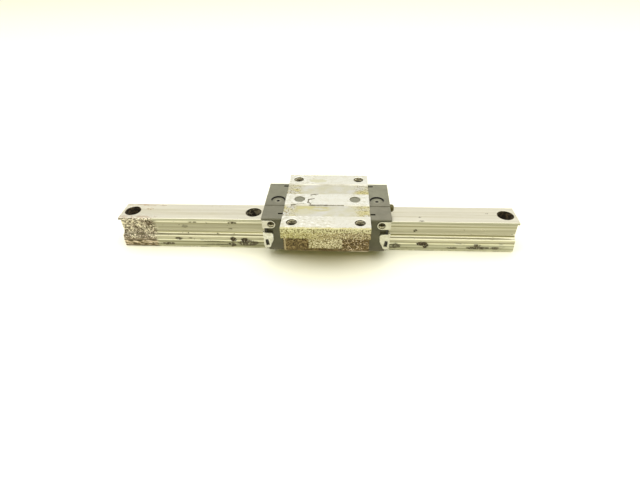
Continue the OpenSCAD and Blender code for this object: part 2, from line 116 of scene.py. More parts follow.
class Shading:
    """Builds shader nodes in a tree. Each input is another node's output or a fixed value."""

    def __init__(self, tree):
        self.tree = tree

    def node(self, kind):
        return self.tree.nodes.new("ShaderNode" + kind)

    def put(self, socket, value):
        if isinstance(value, bpy.types.NodeSocket):
            self.tree.links.new(value, socket)
        else:
            socket.default_value = value

    def vector(self, operation, a, b):
        node = self.node("VectorMath")
        node.operation = operation
        self.put(node.inputs[0], a)
        self.put(node.inputs[1], b)
        return node.outputs["Vector"]

    def axes(self, vector):
        """The x, y and z of a vector."""
        node = self.node("SeparateXYZ")
        self.put(node.inputs[0], vector)
        return node.outputs

    def math(self, operation, *values):
        node = self.node("Math")
        node.operation = operation
        for socket, value in zip(node.inputs, values):
            self.put(socket, value)
        return node.outputs[0]

    def plus(self, a, b):
        return self.math("ADD", a, b)

    def minus(self, a, b):
        return self.math("SUBTRACT", a, b)

    def away(self, value, centre=0.0):
        """How far a value is from a centre, on either side of it."""
        return self.math("ABSOLUTE", self.minus(value, centre))

    def radius(self, a, b):
        """The distance that goes a one way and b square to it."""
        return self.math("SQRT", self.plus(self.both(a, a), self.both(b, b)))

    def both(self, *masks):
        """The product of masks, which is 1 where all of them are."""
        product = masks[0]
        for mask in masks[1:]:
            product = self.math("MULTIPLY", product, mask)
        return product

    def either(self, *masks):
        """The largest of masks, which is 1 where any of them is."""
        largest = masks[0]
        for mask in masks[1:]:
            largest = self.math("MAXIMUM", largest, mask)
        return largest

    def step(self, value, low, high, out_low=0.0, out_high=1.0):
        """Goes smoothly from out_low to out_high while value goes from low to high."""
        node = self.node("MapRange")
        node.interpolation_type = "SMOOTHSTEP"
        names = ("Value", "From Min", "From Max", "To Min", "To Max")
        for name, given in zip(names, (value, low, high, out_low, out_high)):
            self.put(node.inputs[name], given)
        return node.outputs["Result"]

    def blend(self, amount, a, b):
        """The colour a where amount is 0, and b where it is 1."""
        node = self.node("Mix")
        node.data_type = "RGBA"
        node.clamp_result = True
        for name, given in zip(("Factor", "A", "B"), (amount, a, b)):
            self.put(node.inputs[name], given)
        return node.outputs["Result"]

    def mix(self, amount, a, b):
        """The number a where amount is 0, and b where it is 1."""
        node = self.node("Mix")
        for name, given in zip(("Factor", "A", "B"), (amount, a, b)):
            self.put(node.inputs[name], given)
        return node.outputs["Result"]


class Paint(Shading):
    """A material under construction. Its x, y and z are millimetres in the row frame."""

    def __init__(self, name, metallic, roughness):
        self.material = bpy.data.materials.new(name)
        self.material.use_nodes = True
        super().__init__(self.material.node_tree)
        self.shader = self.tree.nodes["Principled BSDF"]
        self.shader.inputs["Metallic"].default_value = metallic
        self.shader.inputs["Roughness"].default_value = roughness
        metres = self.node("TexCoord").outputs["Object"]
        self.place = self.vector("MULTIPLY", metres, (1.0 / MM, 1.0 / MM, 1.0 / MM))
        self.x, self.y, self.z = self.axes(self.place)
        self.height = None

    def noise(self, size, detail=4.0, rough=0.55, stretch=(1.0, 1.0, 1.0), shift=0.0, warp=0.0):
        """Noise from 0 to 1 with lumps of a size in millimetres, longer along stretched axes."""
        place = self.vector("MULTIPLY", self.place, [1.0 / (size * s) for s in stretch])
        if shift:
            place = self.vector("ADD", place, (shift, -shift, 2 * shift))
        node = self.node("TexNoise")
        self.put(node.inputs["Vector"], place)
        node.inputs["Scale"].default_value = 1.0
        node.inputs["Detail"].default_value = detail
        node.inputs["Roughness"].default_value = rough
        node.inputs["Distortion"].default_value = warp
        return node.outputs["Fac"]

    def facing_up(self):
        """The upward part of the surface's normal, in the row frame."""
        return self.axes(self.node("NewGeometry").outputs["Normal"])[2]

    def raise_by(self, pattern, height):
        """Adds a pattern from 0 to 1, times a height in millimetres, to what the bump shows."""
        lift = self.both(pattern, height)
        self.height = lift if self.height is None else self.plus(self.height, lift)

    def finish(self, colour, roughness=None, metallic=None):
        self.put(self.shader.inputs["Base Color"], colour)
        if roughness is not None:
            self.put(self.shader.inputs["Roughness"], roughness)
        if metallic is not None:
            self.put(self.shader.inputs["Metallic"], metallic)
        if self.height is not None:
            bump = self.node("Bump")
            bump.inputs["Strength"].default_value = 1.0
            bump.inputs["Distance"].default_value = MM
            self.put(bump.inputs["Height"], self.height)
            self.put(self.shader.inputs["Normal"], bump.outputs["Normal"])
        return self.material


# ---- marks on the steel, and painted light lines on the rail ----
# Steps of a noise are fractions of its range. Steps of a place or a distance are millimetres.

# Painted highlight and painted shade lines along the rail's sides: height and strength on the
# left half, the same on the right half, half width, and colour
RAIL_LIGHT_LINES = [
    ((4.25, 0.75), (4.25, 0.65), 0.3, (240, 240, 224)),
    ((4.8, 0.45), (4.8, 0.9), 0.25, (132, 128, 100)),
    ((6.2, 0.55), (6.25, 0.65), 0.3, (240, 238, 222)),
    ((6.75, 0.45), (6.9, 0.5), 0.25, (138, 132, 102)),
    ((7.2, 0.6), (7.1, 0.5), 0.35, (230, 227, 206)),
    ((7.6, 0.0), (7.6, 0.9), 0.25, (120, 116, 90)),
    ((8.45, 0.6), (8.4, 0.75), 0.4, (220, 217, 198)),
    ((11.4, 0.0), (11.4, 0.4), 0.3, (214, 212, 192)),
    ((12.5, 0.85), (12.35, 0.8), 0.3, (136, 133, 104)),
    ((13.2, 0.5), (13.15, 0.15), 0.35, (242, 240, 220)),
    ((15.05, 0.6), (15.05, 0.0), 0.2, (226, 224, 198)),
    ((15.2, 0.0), (15.1, 0.85), 0.25, (122, 120, 94)),
]
# Rust on the rail's front side: place and half size in x and z, and how dense it is
RAIL_RUST = [
    ((-73.0, 2.0), (4.2, 0.8), 0.9),
    ((-67.0, 5.0), (2.1, 0.8), 1.0),
    ((-61.0, 5.2), (1.4, 0.4), 0.6),
    ((-50.0, 3.6), (5.5, 0.5), 0.45),
    ((-47.5, 1.8), (7.5, 0.5), 0.5),
    ((-40.0, 5.0), (1.7, 1.2), 1.0),
    ((-41.0, 2.0), (2.2, 1.3), 0.9),
    ((-34.5, 4.7), (2.0, 1.0), 1.0),
    ((-32.5, 3.0), (5.4, 1.7), 0.85),
    ((-40.2, 13.0), (2.4, 0.6), 0.9),
    ((-41.3, 9.4), (1.0, 0.5), 0.6),
    ((-59.5, 13.1), (2.4, 0.4), 0.6),
    ((-63.9, 10.7), (1.6, 1.0), 0.35),
    ((38.5, 2.8), (3.2, 1.5), 0.8),
    ((51.7, 4.1), (2.9, 1.1), 1.0),
    ((53.2, 2.9), (1.4, 1.2), 1.0),
    ((48.0, 9.9), (0.9, 0.8), 0.9),
    ((66.0, 2.0), (2.8, 0.6), 0.7),
    ((78.0, 2.2), (6.0, 0.9), 0.9),
    ((77.5, 3.7), (2.2, 0.7), 0.9),
    ((86.0, 2.2), (2.2, 0.8), 0.8),
]
# Stains on the rail's top: place and half size in x and y
RAIL_TOP_STAINS = [
    ((-82.2, 1.9), (1.9, 1.1)),
    ((-76.6, 5.1), (2.0, 0.6)),
    ((50.1, -5.9), (1.3, 0.9)),
    ((49.6, -2.4), (0.8, 0.7)),
    ((81.5, 1.3), (0.7, 0.6)),
]
# Dark scratches on the centre land, from the block's middle: start, end and half width
LAND_SCRATCHES = [
    ((-8.9, -3.0), (-8.6, -0.2), 0.42),
    ((-8.6, -0.3), (-6.3, 0.4), 0.44),
    ((-8.2, -3.2), (-7.6, -4.2), 0.36),
    ((-7.7, 3.9), (-5.0, 4.8), 0.46),
    ((-16.4, -5.0), (-13.8, -4.3), 0.26),
    ((-13.8, -4.3), (-10.8, -4.0), 0.14),
    ((-7.4, -4.95), (0.2, -4.95), 0.19),
    ((-8.2, -4.95), (7.7, -4.95), 0.13),
]


def patch(p, across_axis, centre, half, torn):
    """A patch round a point, which is x and a place on the other axis, with a torn outline."""
    along = p.math("DIVIDE", p.minus(p.x, centre[0]), half[0])
    across = p.math("DIVIDE", p.minus(across_axis, centre[1]), half[1])
    return p.step(p.plus(p.radius(along, across), torn), 1.05, 0.8)


def side_patch(p, centre, half, shift):
    """A patch round a point (x, z) on a side face."""
    torn = p.both(p.minus(p.noise(1.6, 4.0, 0.65, shift=shift), 0.5), 1.1)
    return patch(p, p.z, centre, half, torn)


def top_patch(p, centre, half, shift):
    """A patch round a point (x, y) on a top face."""
    torn = p.minus(p.noise(1.2, 4.0, 0.6, shift=shift), 0.5)
    return patch(p, p.y, centre, half, torn)


def stroke(p, start, end, half):
    """A thin mark from one point (x, y) to another on a top face, with a worn outline."""
    length = math.hypot(end[0] - start[0], end[1] - start[1])
    run_x, run_y = (end[0] - start[0]) / length, (end[1] - start[1]) / length
    from_x, from_y = p.minus(p.x, start[0]), p.minus(p.y, start[1])
    along = p.plus(p.both(from_x, run_x), p.both(from_y, run_y))
    across = p.minus(p.both(from_y, run_x), p.both(from_x, run_y))
    beyond = p.minus(p.away(along, length / 2.0), length / 2.0)
    worn = p.both(p.minus(p.noise(1.1, 3.0, 0.6, shift=length), 0.5), 2.6 * half)
    return p.step(p.plus(p.either(p.away(across), beyond), worn), 1.3 * half, 0.7 * half)


def band(p, height, half):
    """A soft line along the rail's side at a height."""
    return p.step(p.away(p.z, height), 1.5 * half, 0.4 * half)


# ---- rail ----

def rail_top(p, broad, cloud):
    """Colour of the rail's top: ground bright, with paler streaks beside the middle."""
    colour = p.blend(p.step(cloud, 0.3, 0.7), srgb(219, 215, 200), srgb(202, 197, 177))
    colour = p.blend(p.step(broad, 0.52, 0.66, 0.0, 0.6), colour, srgb(224, 221, 208))
    outer = p.step(p.away(p.y, -0.4), 1.6, 3.0)
    return p.blend(p.both(outer, 0.35), colour, srgb(234, 231, 219))


def rail_side(p, broad):
    """Colour of the rail's sides: duller foot and head, painted highlights on the corners and
    painted shade in the grooves.
    """
    right = p.step(p.x, -5.0, 5.0)
    colour = p.blend(p.step(broad, 0.3, 0.7), srgb(181, 178, 156), srgb(150, 147, 127))
    foot = p.blend(p.step(broad, 0.35, 0.65), srgb(199, 198, 172), srgb(172, 171, 147))
    foot = p.blend(p.both(band(p, 1.6, 0.5), 0.8), foot, srgb(136, 135, 108))
    foot = p.blend(p.both(band(p, 3.4, 0.5), 0.9), foot, srgb(128, 127, 100))
    foot = p.blend(p.step(p.x, 0.0, 40.0, 0.0, 0.35), foot, srgb(216, 216, 196))
    foot = p.blend(p.both(band(p, 1.8, 0.4), right, 0.5), foot, srgb(128, 127, 100))
    # painted highlight along the foot's bottom edge, standing in for glare from the bright floor
    foot = p.blend(p.step(p.z, 0.85, 0.45, 0.0, 0.7), foot, srgb(232, 231, 208))
    colour = p.blend(p.step(p.z, 4.3, 4.0), colour, foot)
    head = p.blend(p.step(broad, 0.35, 0.65), srgb(173, 172, 154), srgb(158, 157, 137))
    colour = p.blend(p.step(p.z, 14.7, 14.85), colour, head)
    # painted highlight lines on the corners and painted shade lines in the grooves
    for on_left, on_right, half, line_colour in RAIL_LIGHT_LINES:
        height, strength = (p.mix(right, a, b) for a, b in zip(on_left, on_right))
        line = p.both(band(p, height, half), strength)
        colour = p.blend(line, colour, srgb(*line_colour))
    return colour


def rail_rust(p):
    """How rusty the rail is, from 0 to 1: patches in front, spots on the foot, and a hem."""
    patches = p.either(*(p.both(side_patch(p, centre, half, 3.1 * number), dense)
                         for number, (centre, half, dense) in enumerate(RAIL_RUST)))
    front = p.step(p.y, 0.0, -1.0)
    foot = p.step(p.z, 5.6, 4.6)
    spots = p.step(p.noise(7.0, 5.0, 0.65, (2.2, 1.0, 0.8), shift=5.0), 0.58, 0.7)
    low = p.step(p.z, 1.0, 0.3)
    hem = p.step(p.noise(3.0, 4.0, 0.6, (3.0, 1.0, 1.0), shift=8.0), 0.42, 0.6)
    return p.either(p.both(foot, spots, 0.55), p.both(patches, front), p.both(low, hem, 0.5))


def rail_left_end(p):
    """1 on the sides of the pitted left end."""
    edge = p.plus(p.x, p.both(p.noise(3.0, 3.0, shift=2.0), 5.0))
    return p.both(p.step(edge, -74.5, -77.5), p.step(p.facing_up(), 0.97, 0.9))


def pitted(p, colour, where):
    """Lays pitting over a colour: dark and pale grains, streaked and redder on the foot, with
    painted shade under the head's lip.
    """
    grains = p.noise(0.5, 2.0, 0.5, (1.4, 1.0, 0.9), shift=37.0, warp=0.4)
    lumps = p.noise(4.0, 4.0, 0.6, (1.5, 1.0, 1.0), shift=19.0)
    level = p.plus(grains, p.step(lumps, 0.3, 0.7, -0.08, 0.08))
    waist = p.blend(p.step(lumps, 0.35, 0.65), srgb(146, 138, 124), srgb(164, 147, 132))
    waist = p.blend(p.step(level, 0.51, 0.58), waist, srgb(70, 58, 36))
    waist = p.blend(p.step(level, 0.45, 0.38), waist, srgb(240, 232, 212))
    # painted shade under the head's lip
    shade_under_lip = p.both(p.step(p.z, 15.2, 15.0), p.step(p.z, 13.2, 14.6, 0.0, 0.5))
    waist = p.blend(shade_under_lip, waist, srgb(84, 76, 52))
    streaks = p.noise(0.9, 4.0, 0.6, (3.2, 1.0, 0.6), shift=41.0, warp=0.4)
    foot = p.blend(p.step(streaks, 0.5, 0.56), srgb(168, 149, 116), srgb(68, 54, 32))
    foot = p.blend(p.step(streaks, 0.48, 0.42), foot, srgb(248, 232, 212))
    edges = p.either(band(p, 4.0, 0.5), band(p, 0.6, 0.5))
    foot = p.blend(p.both(edges, 0.8), foot, srgb(74, 58, 38))
    pits = p.blend(p.step(p.z, 4.9, 4.5), waist, foot)
    p.raise_by(p.both(where, p.step(level, 0.5, 0.6)), -0.12)
    return p.blend(p.both(where, 0.92), colour, pits)


def bore_mask(p):
    """1 on the walls and seats of the rail's screw holes."""
    along = p.plus(p.math("DIVIDE", p.x, RAIL_PITCH), 0.5)
    near_x = p.both(p.minus(along, p.math("ROUND", along)), RAIL_PITCH)
    inside = p.step(p.radius(near_x, p.y), RAIL_BORE_RADIUS + 0.16, RAIL_BORE_RADIUS + 0.1)
    return p.both(inside, p.step(p.z, RAIL_TOP - 0.02, RAIL_TOP - 0.12))


def rail_steel():
    """Ground rail steel: drawn lines along X, rust on the foot, a pitted left end, bores darkened
    by painted shade.
    """
    p = Paint("rail_steel", 1.0, 0.3)
    up = p.facing_up()
    top = p.both(p.step(up, 0.9, 0.98), p.step(p.z, RAIL_TOP - 0.3, RAIL_TOP - 0.1))
    fine = p.noise(0.14, 3.0, 0.6, (400.0, 1.0, 1.0))
    broad = p.noise(1.3, 3.0, 0.5, (60.0, 1.0, 1.0), shift=3.0)
    cloud = p.noise(9.0, 4.0, 0.6, (3.0, 1.0, 1.0), shift=7.0)
    colour = p.blend(top, rail_side(p, broad), rail_top(p, broad, cloud))
    colour = p.blend(p.step(fine, 0.4, 0.75, 0.0, 0.3), colour, srgb(150, 144, 116))
    left = rail_left_end(p)
    colour = pitted(p, colour, left)

    # pale brown tarnish along both edges of the top, near the left end
    tarnish = p.step(p.noise(2.2, 4.0, 0.65, shift=53.0), 0.42, 0.6)
    edges = p.either(p.step(p.y, 3.6, 5.2), p.step(p.y, -3.6, -5.4))
    tarnish = p.both(tarnish, p.step(p.x, -74.0, -84.0), edges, top, 0.75)
    colour = p.blend(tarnish, colour, srgb(184, 158, 132))

    # rust in patches, strays on the sides and stains on the top
    grain = p.noise(0.85, 3.0, 0.6, (1.3, 1.0, 1.0), shift=11.0, warp=0.6)
    soft = p.noise(0.55, 4.0, 0.6, shift=23.0)
    patches = p.both(rail_rust(p), p.step(grain, 0.385, 0.46), p.minus(1.0, left))
    strays = p.step(p.noise(1.5, 3.0, 0.6, (1.5, 1.0, 1.0), shift=17.0), 0.69, 0.73)
    stains = p.either(*(top_patch(p, centre, half, 5.3 * number)
                        for number, (centre, half) in enumerate(RAIL_TOP_STAINS)))
    rust = p.either(patches, p.both(strays, p.step(up, 0.95, 0.8), 0.8),
                    p.both(stains, p.step(soft, 0.4, 0.55), top, 0.75))
    rust_colour = p.blend(p.step(soft, 0.38, 0.62), srgb(74, 61, 40), srgb(36, 30, 17))
    pale_end = p.both(top, p.step(p.x, -70.0, -72.0))
    rust_colour = p.blend(pale_end, rust_colour, srgb(138, 116, 88))
    colour = p.blend(rust, colour, rust_colour)

    # painted shade in the screw holes, darker in patches, paler in the one beside the carriage
    bore = bore_mask(p)
    beside = p.step(p.away(p.x, -RAIL_PITCH / 2.0), 6.0, 4.0)
    bore_shade = p.blend(beside, srgb(82, 68, 48), srgb(118, 110, 92))
    bore_shade_patches = p.step(p.noise(1.5, 3.0, 0.6, shift=61.0, warp=0.5), 0.48, 0.58)
    colour = p.blend(bore, colour, p.blend(bore_shade_patches, srgb(34, 27, 16), bore_shade))

    p.raise_by(fine, 0.006)
    p.raise_by(p.both(rust, grain), -0.3)
    dull = p.either(rust, bore, p.both(left, 0.7))
    roughness = p.mix(dull, p.step(cloud, 0.2, 0.8, 0.26, 0.4), 0.85)
    return p.finish(colour, roughness, p.minus(1.0, dull))


# ---- block ----

def flange_side(p, wide, grain, fleck):
    """Colour of the flange's side and its thick middle part: gritty, browner to the right."""
    rightward = p.step(p.minus(p.x, BLOCK_X), -14.0, 12.0)
    upper = p.step(p.z, 20.8, 22.2)
    middle_part = p.step(p.z, FLANGE_BOTTOM - 0.2, FLANGE_BOTTOM - 0.6)
    colour = p.blend(p.step(wide, 0.35, 0.65), srgb(174, 168, 132), srgb(151, 142, 106))
    colour = p.blend(p.mix(rightward, 0.5, 0.0), colour, srgb(184, 178, 116))
    colour = p.blend(p.mix(rightward, 0.0, 0.5), colour, srgb(150, 132, 98))
    colour = p.blend(p.both(upper, 0.75), colour, srgb(194, 193, 154))
    colour = p.blend(p.both(middle_part, 0.8), colour, srgb(176, 168, 138))
    dark = p.both(p.step(grain, 0.49, 0.55), p.mix(middle_part, 0.92, 1.0))
    colour = p.blend(dark, colour, p.blend(rightward, srgb(114, 105, 62), srgb(96, 82, 52)))
    pale = p.both(p.step(fleck, 0.54, 0.62), p.mix(middle_part, 0.75, 1.0))
    return p.blend(pale, colour, p.blend(rightward, srgb(222, 218, 184), srgb(226, 220, 194)))


def pocket_side(p, wide, grain, fleck):
    """Colour of the block's side under the flange: dirty brown, pale chips at the right, painted
    shade and edge highlights.
    """
    off_middle = p.minus(p.x, BLOCK_X)
    right = p.step(off_middle, 4.0, 9.0)
    lumps = p.noise(1.3, 3.0, 0.6, (1.3, 1.0, 1.0), shift=97.0)
    colour = p.blend(p.step(wide, 0.4, 0.6), srgb(132, 115, 74), srgb(106, 92, 56))
    # painted shadow under the flange, darker towards the top
    colour = p.blend(p.step(p.z, 12.5, 16.5, 0.0, 0.7), colour, srgb(64, 53, 28))
    colour = p.blend(p.step(lumps, 0.53, 0.6, 0.0, 0.6), colour, srgb(172, 152, 112))
    colour = p.blend(p.step(lumps, 0.47, 0.4, 0.0, 0.7), colour, srgb(72, 55, 36))
    colour = p.blend(p.step(grain, 0.5, 0.58), colour, srgb(64, 50, 24))
    # painted highlight down the left edge
    left_end = p.step(p.away(off_middle, -19.0), 0.5, 0.2)
    colour = p.blend(p.both(left_end, 0.6), colour, srgb(196, 182, 150))
    colour = p.blend(p.both(right, 0.4), colour, srgb(84, 64, 40))
    colour = p.blend(p.both(right, p.step(fleck, 0.57, 0.62)), colour, srgb(212, 194, 170))
    # painted highlight along the bottom edge, in patches, paler at the right
    low = p.step(p.z, p.mix(right, 5.4, 6.4), p.mix(right, 4.6, 5.2))
    hem = p.both(low, p.step(wide, 0.6, 0.4), 0.85)
    return p.blend(hem, colour, p.blend(right, srgb(196, 176, 140), srgb(250, 238, 222)))


def land_colour(p, cloud, fleck):
    """Colour of the three ground lands: bright, and mottled where they aren't rubbed smooth."""
    off_middle = p.minus(p.x, BLOCK_X)
    colour = p.blend(p.step(cloud, 0.35, 0.7), srgb(231, 231, 225), srgb(215, 213, 201))
    colour = p.blend(p.step(p.y, -13.5, -14.5, 0.0, 0.4), colour, srgb(210, 207, 194))
    colour = p.blend(p.step(fleck, 0.58, 0.7, 0.0, 0.5), colour, srgb(204, 201, 180))
    centre = p.both(p.step(p.away(off_middle, 1.5), 9.5, 7.0), p.step(p.y, -7.0, -6.0))
    outer_right = p.both(p.step(off_middle, 1.0, 5.0), p.step(p.away(p.y), 13.0, 14.0))
    rough = p.mix(p.either(centre, outer_right), 1.0, 0.2)
    mottle = p.noise(1.1, 4.0, 0.65, (1.6, 1.0, 1.0), shift=83.0)
    dull = p.both(p.step(mottle, 0.52, 0.64, 0.0, 0.55), rough)
    colour = p.blend(dull, colour, srgb(186, 182, 158))
    pale = p.both(p.step(mottle, 0.47, 0.37, 0.0, 0.7), rough)
    colour = p.blend(pale, colour, srgb(248, 247, 243))
    drop = top_patch(p, (BLOCK_X - 5.0, 17.4), (4.5, 1.8), 9.0)
    return p.blend(p.both(drop, 0.55), colour, srgb(204, 201, 160))


def groove_colour(p, cloud, grain):
    """Colour of the two grooves: yellow and gritty near their ends, oily at the front left."""
    off_middle = p.minus(p.x, BLOCK_X)
    colour = p.blend(p.step(cloud, 0.35, 0.65), srgb(212, 211, 206), srgb(198, 195, 173))
    uneven = p.both(p.noise(5.0, 3.0, 0.5, shift=37.0), 9.0)
    ends = p.step(p.plus(p.away(off_middle), uneven), 15.0, 21.0)
    yellow = p.step(p.noise(5.0, 4.0, 0.6, (1.6, 0.8, 1.0), shift=43.0), 0.42, 0.6)
    colour = p.blend(p.both(yellow, ends), colour, srgb(200, 192, 140))
    colour = p.blend(p.both(ends, p.step(grain, 0.54, 0.6)), colour, srgb(140, 128, 86))
    oily = p.step(p.noise(2.4, 4.0, 0.6, (2.0, 0.8, 1.0), shift=71.0), 0.4, 0.55)
    front = p.both(p.step(p.y, -10.2, -8.6), p.step(p.y, -5.0, -6.0))
    left = p.step(p.away(off_middle, -6.5), 9.0, 6.0)
    return p.blend(p.both(oily, front, left), colour, srgb(196, 190, 144))


def tap_mask(p):
    """1 in the mouths and walls of the block's four tapped holes."""
    along = p.minus(p.away(p.x, BLOCK_X), TAP_SPACING[0] / 2.0)
    across = p.minus(p.away(p.y), TAP_SPACING[1] / 2.0)
    inside = p.step(p.radius(along, across), TAP_RADIUS + 0.27, TAP_RADIUS + 0.15)
    return p.both(inside, p.step(p.z, FLANGE_BOTTOM - 0.02, FLANGE_BOTTOM + 0.02))


def block_steel():
    """The block: bright ground lands, duller grooves, stained, gritty, rusty sides, and painted
    shade and highlights.
    """
    p = Paint("block_steel", 1.0, 0.35)
    up = p.facing_up()
    across = p.away(p.y)
    fine = p.noise(0.12, 3.0, 0.6, (200.0, 1.0, 1.0))
    cloud = p.noise(6.0, 5.0, 0.6, (1.5, 1.0, 1.0), shift=4.0)
    wide = p.noise(4.0, 4.0, 0.6, shift=9.0)
    grain = p.noise(0.74, 2.0, 0.5, shift=13.0)
    fleck = p.noise(0.62, 2.0, 0.5, shift=29.0)

    # the sides
    under_flange = p.step(p.z, FLANGE_BOTTOM + 0.2, FLANGE_BOTTOM - 0.2)
    pocket = p.both(under_flange, p.step(across, 18.0, 17.4))
    flange = flange_side(p, wide, grain, fleck)
    colour = p.blend(pocket, flange, pocket_side(p, wide, grain, fleck))

    # the lands, the grooves and the slopes between them
    flat = p.both(p.step(up, 0.5, 0.7), p.step(p.z, GROOVE_FLOOR - 0.2, GROOVE_FLOOR - 0.1))
    land = p.both(p.step(p.z, BLOCK_TOP - 0.14, BLOCK_TOP - 0.05), flat)
    groove = p.both(p.step(p.z, BLOCK_TOP - 0.1, BLOCK_TOP - 0.2), flat)
    near_top = p.step(p.z, GROOVE_FLOOR - 0.3, GROOVE_FLOOR - 0.2)
    slope = p.both(near_top, p.step(up, 0.97, 0.93), p.step(across, 16.5, 16.0))
    slope_colour = p.blend(p.step(cloud, 0.35, 0.65), srgb(172, 170, 158), srgb(148, 145, 132))
    colour = p.blend(land, colour, land_colour(p, cloud, fleck))
    colour = p.blend(groove, colour, groove_colour(p, cloud, grain))
    colour = p.blend(slope, colour, slope_colour)

    # nicks all over the top, and worn edges along the front and the back
    top = p.either(land, groove)
    nicks = p.step(p.noise(1.3, 3.0, 0.7, (1.6, 1.0, 1.0), shift=51.0), 0.66, 0.7)
    nicks = p.both(nicks, top)
    colour = p.blend(p.both(nicks, 0.7), colour, srgb(150, 142, 112))
    lip = p.both(p.step(across, FLANGE_EDGE - 0.5, FLANGE_EDGE - 0.35), p.step(up, 0.1, 0.2))
    lip_colour = p.blend(p.step(grain, 0.46, 0.56), srgb(186, 182, 150), srgb(124, 118, 82))
    colour = p.blend(lip, colour, lip_colour)
    rim = p.step(across, FLANGE_EDGE - 1.5, FLANGE_EDGE - 0.3)
    chips = p.both(rim, top, p.step(grain, 0.48, 0.55))
    colour = p.blend(chips, colour, srgb(190, 182, 138))

    # dark scratches beside the left plug and along the centre land's front edge
    marks = (stroke(p, (BLOCK_X + start[0], start[1]), (BLOCK_X + end[0], end[1]), half)
             for start, end, half in LAND_SCRATCHES)
    scratches = p.both(p.either(*marks), near_top)
    colour = p.blend(p.both(scratches, 0.9), colour, srgb(70, 62, 42))

    # the tapped holes, painted dark as shade inside them
    tapped = tap_mask(p)
    tap_shade_colour = p.blend(p.step(grain, 0.4, 0.6), srgb(54, 49, 38), srgb(28, 25, 18))
    colour = p.blend(tapped, colour, tap_shade_colour)

    side = p.minus(1.0, p.step(up, 0.4, 0.7))
    p.raise_by(fine, 0.004)
    p.raise_by(p.both(side, grain), 0.22)
    p.raise_by(p.either(nicks, scratches), -0.05)
    dirt = p.either(pocket, p.both(side, 0.6), tapped, scratches)
    roughness = p.mix(dirt, p.step(cloud, 0.2, 0.8, 0.3, 0.42), 0.8)
    return p.finish(colour, roughness, p.mix(dirt, 1.0, 0.2))


def thread_steel():
    """The crests of a thread: worn bright at the mouth, darkened further down by painted shade."""
    p = Paint("thread_steel", 0.8, 0.5)
    # painted shade deeper in the hole
    depth = p.step(p.z, BLOCK_TOP - 0.6, BLOCK_TOP - 3.0)
    grain = p.noise(0.5, 4.0, 0.6, shift=3.0)
    crest = p.blend(p.step(grain, 0.35, 0.65), srgb(176, 170, 146), srgb(120, 112, 86))
    p.raise_by(grain, 0.02)
    return p.finish(p.blend(depth, crest, srgb(66, 60, 46)), p.mix(depth, 0.4, 0.7))


# ---- caps, plates and small parts ----

def port_distance(p):
    """Distance in millimetres from the middle of the nearer cap's grease port."""
    return p.radius(p.minus(p.away(p.x, BLOCK_X), PORT_REACH), p.y)


def slot_mask(p):
    """1 on the walls and floors of the two small slots in the top of each cap."""
    across = p.either(*(p.step(p.away(p.y, y), CAP_SLOT_HALF + 0.09, CAP_SLOT_HALF + 0.05)
                        for y in CAP_SLOT_Y))
    below = p.step(p.z, CAP_TOP - 0.04, CAP_TOP - 0.14)
    above = p.step(p.z, CAP_TOP - CAP_SLOT_DEPTH, CAP_TOP - CAP_SLOT_DEPTH + 0.1)
    along = p.step(p.away(p.x, BLOCK_X), CAP_SLOT_REACH, CAP_SLOT_REACH - 0.05)
    return p.both(across, below, above, along)


def cap_plastic():
    """Matt moulded plastic, lighter on top than on its sides, with painted shade on the top's
    front half and in its recesses.
    """
    p = Paint("cap_plastic", 0.0, 0.55)
    cloud = p.noise(4.0, 5.0, 0.6, shift=6.0)
    scuff = p.noise(0.5, 4.0, 0.7, (5.0, 1.0, 1.0), shift=15.0)
    colour = p.blend(p.step(cloud, 0.35, 0.7), srgb(76, 74, 53), srgb(67, 66, 46))
    colour = p.blend(p.step(p.z, 11.0, 5.0, 0.0, 0.5), colour, srgb(84, 78, 70))
    # painted shade: the top is darker on its front half
    front = p.blend(p.step(cloud, 0.35, 0.7), srgb(100, 97, 83), srgb(91, 89, 76))
    top = p.blend(p.step(cloud, 0.35, 0.7), srgb(108, 107, 91), srgb(99, 98, 83))
    top = p.blend(p.step(p.y, 4.0, -4.0), top, front)
    top = p.blend(p.step(p.x, 10.0, 0.0, 0.0, 0.35), top, srgb(84, 83, 69))
    top = p.blend(p.step(scuff, 0.62, 0.72, 0.0, 0.35), top, srgb(126, 122, 104))
    from_port = port_distance(p)
    halo = p.both(p.step(from_port, 0.8, 1.0), p.step(from_port, 1.8, 1.4))
    top = p.blend(p.both(halo, 0.5), top, srgb(126, 123, 108))
    colour = p.blend(p.step(p.facing_up(), 0.6, 0.9), colour, top)

    # painted shade on the back half of the port's rim, in its dimple and in the slots
    rim = p.both(p.step(from_port, 2.8, 2.95), p.step(from_port, 3.5, 3.4))
    recess_shade = p.either(p.both(rim, p.step(p.y, -0.8, 0.6)), p.step(from_port, 0.85, 0.7),
                      slot_mask(p))
    colour = p.blend(p.both(recess_shade, p.step(p.z, 20.9, 21.1)), colour, srgb(12, 10, 5))
    p.raise_by(p.noise(0.18, 3.0, 0.6), 0.02)
    return p.finish(colour, p.step(cloud, 0.2, 0.8, 0.5, 0.65))


